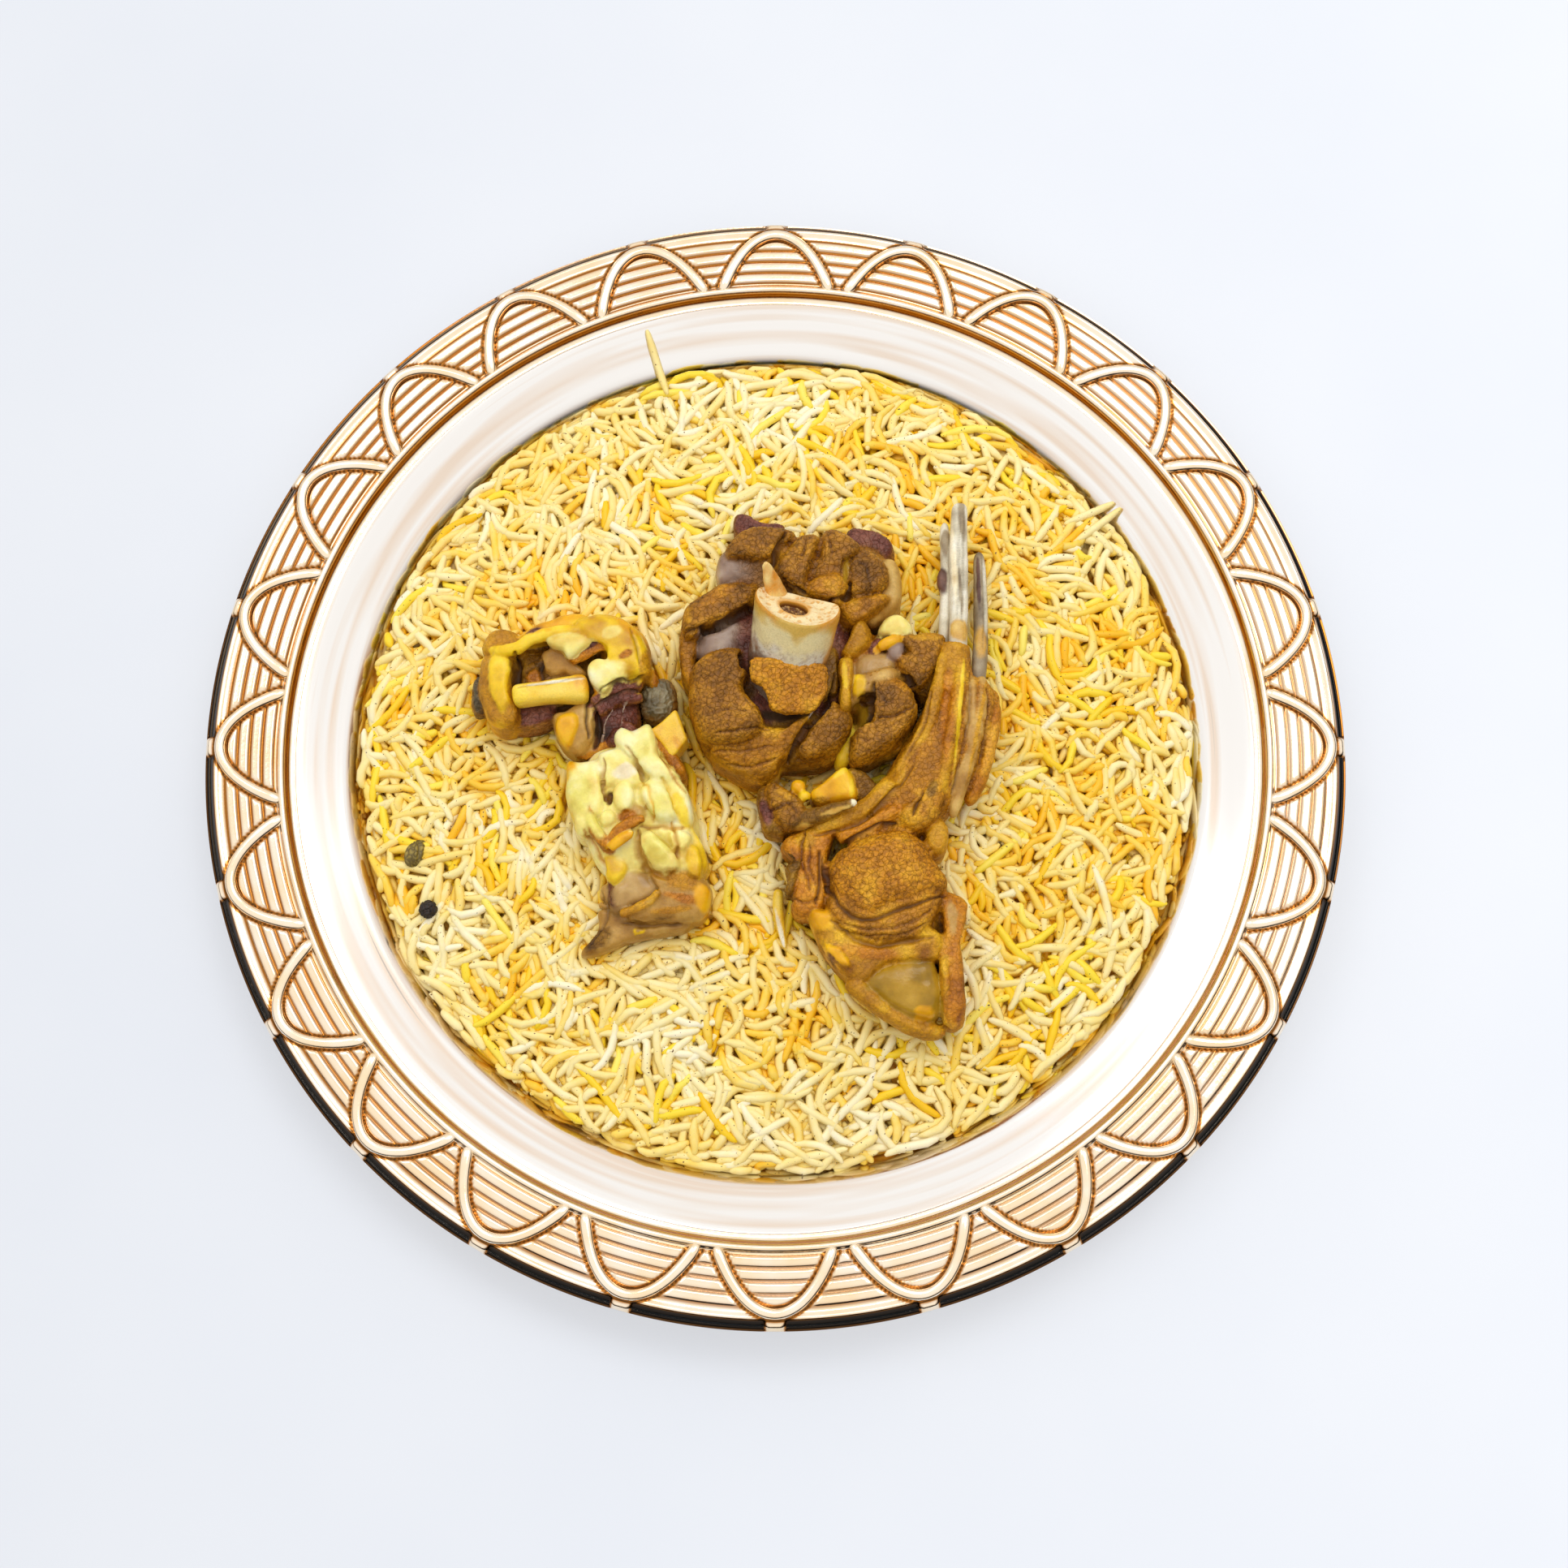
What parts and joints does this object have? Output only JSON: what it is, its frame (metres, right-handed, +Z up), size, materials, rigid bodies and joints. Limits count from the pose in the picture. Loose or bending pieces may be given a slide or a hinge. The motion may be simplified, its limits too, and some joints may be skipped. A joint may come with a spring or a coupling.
{
  "type": "lamb biryani on a round serving tray",
  "caption": "Long-grain saffron rice with pieces of lamb on the bone, heaped in a round pressed metal tray with a gilt rim of raised arches.",
  "frame": {"origin": "the middle of the tray's underside, on the surface that it stands on", "axes": "+Z up, out of the tray; +X to the right and +Y away from the person served, with the marrow bone behind the middle and the rib bones pointing away on the right"},
  "size_m": [0.35, 0.35, 0.0618],
  "materials": {
    "tray_gilt": "polished",
    "tray_steel": "polished",
    "rice": "satin",
    "roasted_meat": "matte",
    "chop_meat": "matte",
    "dark_meat": "matte",
    "fatty_meat": "satin",
    "yellow_fat": "satin",
    "stained_bone": "satin",
    "pale_bone": "satin",
    "grey_bone": "matte",
    "marrow": "satin"
  },
  "bodies": {
    "root": {"tray": "tray_gilt", "rice": "rice", "shank_meat": "roasted_meat", "marrow_bone": "pale_bone", "marrow": "marrow", "side_meat": "roasted_meat", "chop_meat": "chop_meat", "chop_rib_main": "pale_bone", "chop_rib_left": "pale_bone", "chop_rib_right": "grey_bone", "chop_vertebra": "dark_meat", "chop_gristle": "stained_bone", "bone_sliver": "stained_bone", "joint_meat": "fatty_meat", "joint_bone": "stained_bone", "joint_spongy_bone": "grey_bone", "slab_meat": "yellow_fat", "bone_chip": "stained_bone"}
  },
  "joints": []
}
